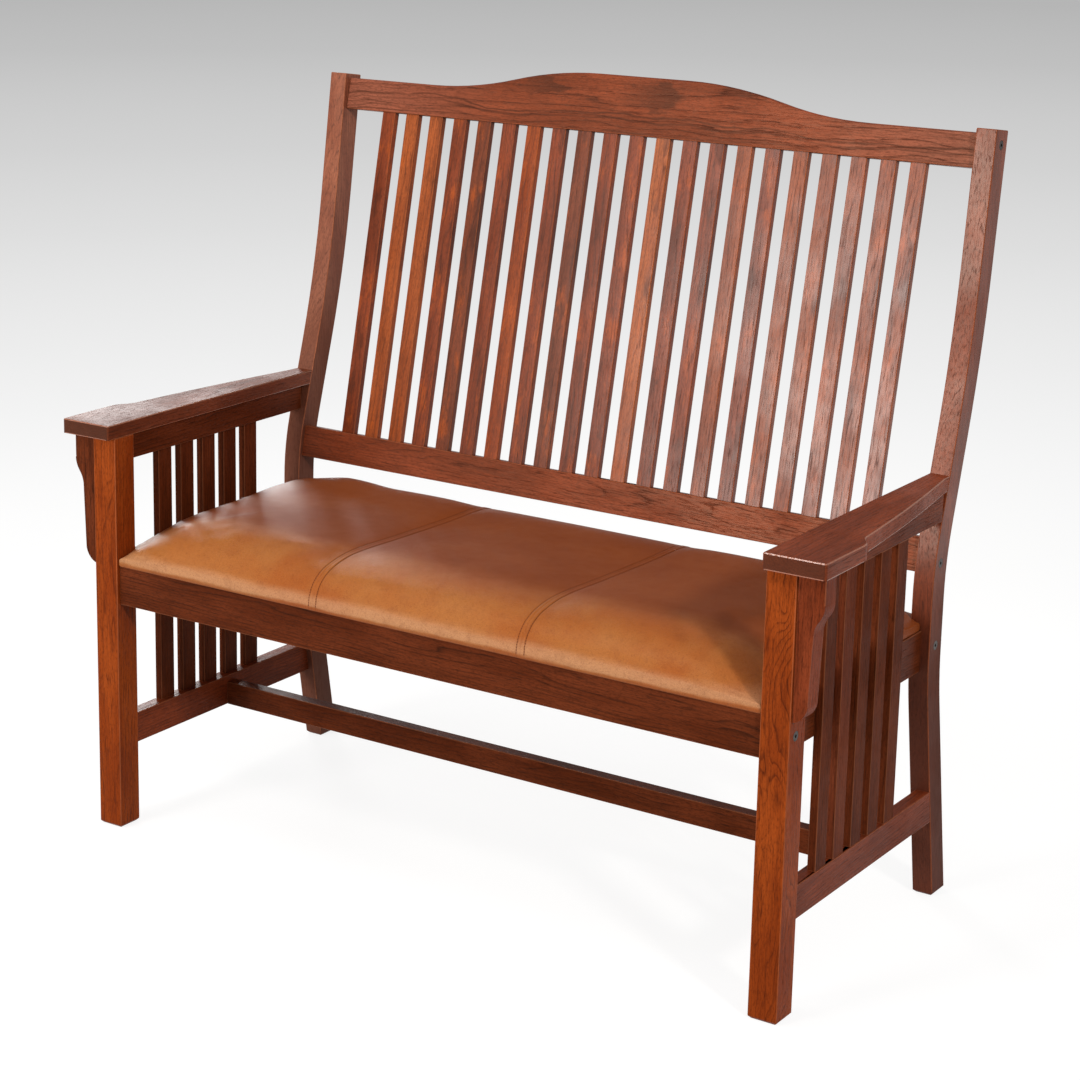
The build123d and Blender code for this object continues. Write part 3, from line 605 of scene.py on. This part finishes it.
def plywood():
    """Unfinished plywood with its face grain along x."""
    material, graph = new_material("plywood")
    place = graph.place()
    figure = graph.noise(place, (2.5, 26, 26), 4, 0.6, 1.2)
    streak = graph.noise(place, (6, 420, 420), 2, 0.6)
    stops = ((0.3, srgb(205, 168, 122)), (0.5, srgb(188, 148, 102)), (0.7, srgb(214, 180, 136)))
    face = graph.ramp(figure, stops)
    face = graph.mix(graph.span(streak, 0.45, 0.7, 0, 0.35), face, srgb(140, 100, 62))
    rough = graph.span(streak, 0.3, 0.7, 0.55, 0.72)
    surface(graph, face, rough, graph.bump(streak, 0.0002, 0.5), Specular_IOR_Level=0.3)
    return material


paint(nodes["connector_bolts"], steel("dark_steel", srgb(70, 62, 58), 0.36))
paint(nodes["bolt_nuts"], steel("zinc_steel", srgb(168, 166, 160), 0.34))
paint(nodes["arm_dowels"], oak("beech", (0, 0, 0.65), "y", "beech", (0.03, 0.03), spacing=0.0016))
paint(nodes["seat_board"], plywood())
ease_edges(nodes["connector_bolts"], 0.4 * mm)
ease_edges(nodes["seat_board"], 0.6 * mm)

# Seat, in metres: its seams and the stitch rows beside them by x, its underside by z, half its width,
# and its front, back and depth behind the front posts' faces
seam_x = 0.1841
stitch_row = 0.0066
seat_z = 0.4373
seat_half = 0.5837
seat_front, seat_back, seat_deep = 0.0015, 0.494, 0.4925
# Height above the underside in millimetres by x, and its share by the depth in the middle and at the ends
across = ((0, 61.5), (0.09, 61.3), (0.15, 61), (seam_x, 60.4), (0.23, 61.6), (0.28, 62.3), (0.34, 62.5),
          (0.4, 62.5), (0.44, 62.3), (0.481, 61), (0.512, 57.5), (0.54, 52), (0.566, 43), (0.576, 36),
          (seat_half, 24))
inward_middle = ((0, 0.02), (0.0012, 0.26), (0.005, 0.49), (0.015, 0.71), (0.032, 0.89), (0.055, 1.0),
                 (0.085, 1.08), (0.133, 1.088), (0.185, 1.06), (0.238, 1.035), (0.291, 1.015), (0.346, 1.0),
                 (0.402, 1.0), (0.45, 0.985), (0.47, 0.93), (0.483, 0.8), (0.489, 0.6), (seat_deep, 0.2))
inward_end = ((0, 0.02), (0.008, 0.16), (0.015, 0.28), (0.032, 0.49), (0.08, 0.72), (0.104, 0.81),
              (0.153, 0.97), (0.2, 1.0), (0.4, 1.0), (0.44, 0.95), (0.465, 0.82), (0.483, 0.55),
              (seat_deep, 0.2))


def between(table, value):
    """Value of a table at a place, with a smooth line through its points."""
    if value <= table[0][0]:
        return table[0][1]
    for index in range(len(table) - 1):
        (x0, y0), (x1, y1) = table[index], table[index + 1]
        if value <= x1:
            before = table[index - 1] if index else table[0]
            after = table[index + 2] if index + 2 < len(table) else table[-1]
            slope0 = (y1 - before[1]) / (x1 - before[0])
            slope1 = (after[1] - y0) / (after[0] - x0)
            length = x1 - x0
            t = (value - x0) / length
            return ((2 * t**3 - 3 * t**2 + 1) * y0 + (t**3 - 2 * t**2 + t) * length * slope0
                    + (3 * t**2 - 2 * t**3) * y1 + (t**3 - t**2) * length * slope1)
    return table[-1][1]


def ramp(value, low, high):
    """Smooth step from 0 at low to 1 at high."""
    share = min(max((value - low) / (high - low), 0), 1)
    return share * share * (3 - 2 * share)


def seat_height(x, depth):
    """Height of the cushion above its underside, in metres: its left end is the fuller one."""
    panel_swell, crown, edge_height = 3.4, 2, 18
    left, x = x < 0, abs(x)
    end = ramp(x, 0.47, 0.57)
    # The middle and end profiles are blended; each panel swells a little between its seams near the front
    share = (1 - end) * between(inward_middle, depth) + end * between(inward_end, depth)
    panel = panel_swell * ramp(abs(x - seam_x), 0, 0.09)
    panel = panel * ramp(depth, 0.02, 0.09) * (1 - ramp(depth, 0.2, 0.42))
    lift = crown - 4 * ramp(x, 0.42, 0.5)
    if left:
        lift = crown + ramp(x, 0.36, 0.46) * (1.5 + 4.5 * ramp(depth, 0.25, 0.42))
    height = (between(across, x) + lift) * share + panel * (1 - end)
    # The right rear corner slopes down to the back post
    if not left:
        height *= 1 - 0.85 * ramp(x, 0.52, 0.572) * ramp(depth, 0.38, 0.45)
    # The edge stands up steeply all round
    edge = min(depth, seat_deep - depth, seat_half - x)
    return mm * max(height, edge_height * ramp(edge, -0.0008, 0.0035))


def spread(low, high, step, ends):
    """Places from low to high, closer together near both ends."""
    places = [low + offset for offset in ends] + [high - offset for offset in reversed(ends)]
    count = max(2, round((high - low - 2 * ends[-1]) / step))
    inner = [low + ends[-1] + (high - low - 2 * ends[-1]) * n / count for n in range(1, count)]
    return sorted(places + inner)


def seat_blank(swell):
    """Closed blank of the seat on a grid, notched round the four posts and lower by the swell."""
    slack, step = 0.0008, 0.006
    front_notch_x, back_notch_x = 0.5662 - slack, 0.569 - slack
    front_notch_y, back_notch_y = 0.0452, 0.4634
    xs = spread(-seat_half, seat_half, step, (0, 0.001, 0.003, 0.006, 0.010, 0.0145, 0.0183))
    ys = spread(seat_front, seat_back, step, (0, 0.001, 0.003, 0.007, 0.012, 0.017, 0.023, 0.0302))
    shape = bmesh.new()
    rows = {}
    for i, x in enumerate(xs):
        for j, y in enumerate(ys):
            height = max(seat_height(x, y - ys[0]) - swell, 2 * mm)
            rows[i, j] = (shape.verts.new((x, front_y + y, seat_z + height)),
                          shape.verts.new((x, front_y + y, seat_z)))

    def kept(i, j):
        """Whether a cell of the grid is part of the seat."""
        if not (0 <= i < len(xs) - 1 and 0 <= j < len(ys) - 1):
            return False
        x, y = abs(xs[i] + xs[i + 1]) / 2, (ys[j] + ys[j + 1]) / 2
        return not (x > front_notch_x and y < front_notch_y or x > back_notch_x and y > back_notch_y)

    for i in range(len(xs) - 1):
        for j in range(len(ys) - 1):
            if not kept(i, j):
                continue
            corners = ((i, j), (i + 1, j), (i + 1, j + 1), (i, j + 1))
            shape.faces.new([rows[c][0] for c in corners])
            shape.faces.new([rows[c][1] for c in reversed(corners)])
            steps = ((0, -1), (1, 0), (0, 1), (-1, 0))
            for n, (di, dj) in enumerate(steps):
                if not kept(i + di, j + dj):
                    a, b = corners[n], corners[(n + 1) % 4]
                    shape.faces.new((rows[a][0], rows[a][1], rows[b][1], rows[b][0]))
    loose = [vert for vert in shape.verts if not vert.link_faces]
    bmesh.ops.delete(shape, geom=loose, context="VERTS")
    bmesh.ops.recalc_face_normals(shape, faces=shape.faces)
    return new_piece("seat_leather", shape)


def leather():
    """Aniline leather: honey on the front roll and a darker reddish brown on top, partly its own tones and
    partly painted light and shade, with painted highlights on the roll and darker along the stitches.
    """
    honeys, top_browns_and_shade = (srgb(178, 110, 54), srgb(166, 87, 32)), (srgb(146, 74, 32), srgb(134, 64, 25))
    # The cream and the pale brow are painted highlights, the brow partly wear; the reddish one is the lower
    # edge's
    rub_and_highlight, brow_wear_and_highlight, reddish = srgb(210, 158, 116), srgb(206, 142, 100), srgb(152, 78, 40)
    mottle_brown, speck_brown = srgb(112, 54, 26), srgb(108, 52, 24)
    crease_brown, stitch_brown = srgb(96, 46, 24), srgb(96, 44, 20)
    material, graph = new_material("leather")
    place = graph.place()
    depth = graph.math("SUBTRACT", graph.axis(place, 1), front_y)
    side = graph.math("ABSOLUTE", graph.axis(place, 0))
    side = graph.math("ABSOLUTE", graph.math("SUBTRACT", side, seam_x))
    cloud = graph.noise(place, 6, 4, 0.55)
    mottle = graph.noise(place, 60, 3, 0.6)
    speck = graph.noise(place, 330, 3, 0.65)
    fine = graph.noise(place, 1500)
    inputs = {"Vector": place, "Scale": 620.0}
    cells = graph.add("ShaderNodeTexVoronoi", inputs, feature="DISTANCE_TO_EDGE")
    cell = graph.span(cells.outputs["Distance"], 0.0, 0.22)
    streak = graph.math("SUBTRACT", graph.noise(place, (9, 60, 60), 3, 0.6), 0.5)

    ragged = graph.math("MULTIPLY_ADD", streak, 0.03, depth)
    ragged = graph.math("MULTIPLY_ADD", graph.math("SUBTRACT", cloud, 0.5), 0.04, ragged)
    top = graph.span(ragged, 0.035, 0.145)
    # Painted highlight, partly wear: a pale band along the brow of the front roll
    brow = graph.span(ragged, 0.088, 0.13, 1.0, 0.0)
    brow = graph.math("MULTIPLY", graph.span(ragged, 0.055, 0.086), brow)
    clouded = graph.span(cloud, 0.35, 0.68)
    honey = graph.mix(clouded, *honeys)
    brown = graph.mix(clouded, *top_browns_and_shade)
    tall = graph.math("MULTIPLY_ADD", streak, 0.012, graph.axis(place, 2))
    # Painted highlight: a pale, creamy band a little above the lower edge of the front roll
    painted_highlight_band = graph.span(tall, seat_z + 0.014, seat_z + 0.03, 0.6, 0.0)
    painted_highlight_band = graph.math("MULTIPLY", graph.span(tall, seat_z + 0.003, seat_z + 0.009), painted_highlight_band)
    honey = graph.mix(painted_highlight_band, honey, rub_and_highlight)
    lower_edge = graph.span(tall, seat_z + 0.001, seat_z + 0.008, 0.6, 0.0)
    honey = graph.mix(lower_edge, honey, reddish)

    # The front roll's honey and the top's darker brown are partly the leather's own tones, partly painted
    # light and shade
    colour = graph.mix(top, honey, brown)
    colour = graph.mix(graph.math("MULTIPLY", brow, 0.08), colour, brow_wear_and_highlight)
    colour = graph.mix(graph.span(mottle, 0.45, 0.75, 0, 0.18), colour, mottle_brown)
    colour = graph.mix(graph.span(speck, 0.5, 0.72, 0.0, 0.3), colour, speck_brown)
    crease = graph.math("MULTIPLY", graph.math("SUBTRACT", 1.0, cell), 0.3)
    colour = graph.mix(crease, colour, crease_brown)
    row = graph.math("ABSOLUTE", graph.math("SUBTRACT", side, stitch_row))
    row = graph.span(row, 0.0003, 0.0014, 0.22, 0.0)
    row = graph.math("MAXIMUM", row, graph.span(side, 0.0, 0.0012, 0.1, 0.0))
    colour = graph.mix(row, colour, stitch_brown)

    rough = graph.math("MULTIPLY_ADD", mottle, 0.1, graph.span(cloud, 0.3, 0.7, 0.24, 0.3))
    rough = graph.math("MULTIPLY_ADD", top, 0.12, rough)
    normal = graph.bump(graph.math("MULTIPLY_ADD", fine, 0.3, cell), 0.0002, 0.7)
    surface(graph, colour, rough, normal, Specular_IOR_Level=0.17, Specular_Tint=(1, 0.82, 0.68, 1))
    return material


def evaluated(piece):
    """Puts a piece's evaluated mesh in place of its own and drops its modifiers."""
    graph = bpy.context.evaluated_depsgraph_get()
    mesh = bpy.data.meshes.new_from_object(piece.evaluated_get(graph))
    piece.modifiers.clear()
    piece.data = mesh


def blow_up(piece, most, frames=20):
    """Swells the blank as cloth that is held below and at the seams; no point moves more than most."""
    before = [vert.co.copy() for vert in piece.data.vertices]
    held = piece.vertex_groups.new(name="held")
    for index, place in enumerate(before):
        side = abs(abs(place.x) - seam_x)
        grip = 1 if place.z < seat_z + 0.011 else 0.8 * (1 - ramp(side, 0.003, 0.009))
        if grip > 0.01:
            held.add([index], grip, "REPLACE")
    cloth = piece.modifiers.new("cloth", "CLOTH")
    settings = cloth.settings
    settings.vertex_group_mass = "held"
    settings.use_pressure = True
    settings.uniform_pressure_force = 4
    settings.effector_weights.gravity = 0
    settings.quality = 4
    settings.mass = 0.35
    settings.tension_stiffness = settings.compression_stiffness = 18
    settings.bending_stiffness = 2
    cloth.point_cache.frame_start, cloth.point_cache.frame_end = 1, frames
    for step in range(1, frames + 1):
        scene.frame_set(step)
    evaluated(piece)
    scene.frame_set(1)
    for place, vert in zip(before, piece.data.vertices):
        move = vert.co - place
        if move.length > most:
            vert.co = place + move * (most / move.length)


def draw_to_board(piece, overhang=0.0012, reach=0.0075):
    """Draws the leather's lower edge out to just beyond the sides of its board."""
    board_low, board_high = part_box("seat_board")
    for vert in piece.data.vertices:
        low = 1 - ramp(vert.co.z, seat_z + 0.014, seat_z + 0.024)
        for axis in (0, 1):
            value, near, far = vert.co[axis], board_low[axis] - overhang, board_high[axis] + overhang
            if value - near < reach:
                vert.co[axis] -= low * max(0, value - near) * (1 - ramp(value, near + 0.003, near + reach))
            elif far - value < reach:
                vert.co[axis] += low * max(0, far - value) * (1 - ramp(far - value, 0.003, reach))


def inflate(piece, most):
    """Remeshes the blank evenly, swells and smooths it and fits it to its board."""
    remesh = piece.modifiers.new("remesh", "REMESH")
    remesh.mode = "VOXEL"
    remesh.voxel_size = 0.006
    evaluated(piece)
    blow_up(piece, most)
    free = piece.vertex_groups.new(name="free")
    for index, vert in enumerate(piece.data.vertices):
        free.add([index], ramp(vert.co.z, seat_z + 0.007, seat_z + 0.018), "REPLACE")
    even = piece.modifiers.new("even", "SMOOTH")
    even.factor, even.iterations, even.vertex_group = 0.5, 14, "free"
    finer = piece.modifiers.new("finer", "SUBSURF")
    finer.levels = 1
    evaluated(piece)
    draw_to_board(piece)


def sew(piece):
    """Presses the seams and their stitch rows into a ridge of leather; its own sizes are in millimetres."""
    row_depth, row_width = 0.75, 1.4
    seam_depth, seam_width = 0.6, 0.9
    ridge, widest = 0.5, 13
    shape = bmesh.new()
    shape.from_mesh(piece.data)
    for reach in (0.0125, 0.0105):
        edges = [edge for edge in shape.edges
                 if all(abs(abs(v.co.x) - seam_x) < reach and v.co.z > seat_z + 0.004 for v in edge.verts)]
        bmesh.ops.subdivide_edges(shape, edges=edges, cuts=1, use_grid_fill=True)
    shape.normal_update()
    moves = []
    for vert in shape.verts:
        side = (abs(vert.co.x) - seam_x) / mm
        if abs(side) > widest or vert.co.z < seat_z + 0.003:
            continue
        row = (abs(side) - stitch_row / mm) / row_width
        depth = row_depth * math.exp(-row * row) + seam_depth * math.exp(-(side / seam_width) ** 2)
        depth -= ridge * (1 - ramp(abs(side), 4.5, 7.5))
        moves.append((vert, -depth * mm * ramp(vert.co.z, seat_z + 0.003, seat_z + 0.009)))
    for vert, move in moves:
        vert.co += vert.normal * move
    shape.to_mesh(piece.data)
    shape.free()


def seam_lines(piece, front=0.07, back=0.43, angle=1.5):
    """Four rows of points along the leather, front to back, with the normals there.

    Rays fan out by an angle in degrees round a centre behind the front edge and one before the back
    edge, and rise straight up at every millimetre between the two.
    """
    surface_tree = BVHTree.FromPolygons([vert.co for vert in piece.data.vertices],
                                        [face.vertices[:] for face in piece.data.polygons])
    rows = []
    for seam in (-seam_x, seam_x):
        for side in (-stitch_row, stitch_row):
            rays = []
            for step in range(3, 61):
                turn = math.radians(angle * step)
                rays.append(((seam + side, front_y + front, seat_z), (0, -math.cos(turn), math.sin(turn))))
            for step in range(1, 360):
                rays.append(((seam + side, front_y + front + mm * step, seat_z), (0, 0, 1)))
            for step in range(0, 54):
                turn = math.radians(90 - angle * step)
                rays.append(((seam + side, front_y + back, seat_z), (0, math.cos(turn), math.sin(turn))))
            row = []
            for start, way in rays:
                place, normal, _, _ = surface_tree.ray_cast(Vector(start), Vector(way))
                if place is not None and place.z > seat_z + 0.004:
                    row.append((place, normal if normal.dot(Vector(way)) > 0 else -normal))
            rows.append(row)
    return rows


# Rings of one stitch: place as a share of its length, then width and lift as shares of the thread's radius
stitch_rings = ((-0.5, 0.35, -0.35), (-0.3, 0.9, 0.2), (0, 1.0, 0.45), (0.3, 0.9, 0.2), (0.5, 0.35, -0.35))


def stitch(shape, centre, forward, normal, length=0.0029, radius=0.0006, corners=6):
    """One stitch of thread, which dips into the leather at both ends."""
    sideways = forward.cross(normal).normalized()
    rings = []
    for share, wide, lift in stitch_rings:
        middle = centre + forward * share * length + normal * lift * radius
        ring = []
        for corner in range(corners):
            turn = 2 * math.pi / corners * corner
            side = sideways * math.cos(turn) + normal * math.sin(turn)
            ring.append(shape.verts.new(middle + side * wide * radius))
        rings.append(ring)
    for first, second in zip(rings, rings[1:]):
        for corner in range(corners):
            other = (corner + 1) % corners
            shape.faces.new((first[corner], first[other], second[other], second[corner]))
    shape.faces.new(list(reversed(rings[0])))
    shape.faces.new(rings[-1])


def stitches(rows, pitch=0.0039):
    """Thread stitches laid along rows of points."""
    shape = bmesh.new()
    for row in rows:
        along, last = 0.0, row[0][0]
        wanted = pitch / 2
        for place, normal in row[1:]:
            step = (place - last).length
            while along + step > wanted and step > 0:
                centre = last.lerp(place, (wanted - along) / step)
                stitch(shape, centre, (place - last).normalized(), normal)
                wanted += pitch
            along += step
            last = place
    bmesh.ops.recalc_face_normals(shape, faces=shape.faces)
    return new_piece("seat_stitching", shape)


def thread():
    """Dark brown thread."""
    material, graph = new_material("thread")
    twist = graph.noise(graph.place(), (900, 2200, 900))
    colour = graph.mix(graph.span(twist, 0.4, 0.65), srgb(104, 46, 16), srgb(72, 28, 10))
    rough = graph.span(twist, 0.3, 0.7, 0.5, 0.7)
    surface(graph, colour, rough, graph.bump(twist, 0.0001, 0.6), Specular_IOR_Level=0.2)
    return material


# The blank is made lower by the swell that the cloth adds, and no point of it moves more than the most
swell, most = 0.0018, 0.0035
cushion = seat_blank(swell)
inflate(cushion, most)
sew(cushion)
paint(cushion, leather())
threads = stitches(seam_lines(cushion))
paint(threads, thread())
for piece in (cushion, threads):
    for face in piece.data.polygons:
        face.use_smooth = True
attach(cushion, "root")
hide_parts("seat_cushion")
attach(threads, "root")

low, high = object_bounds()
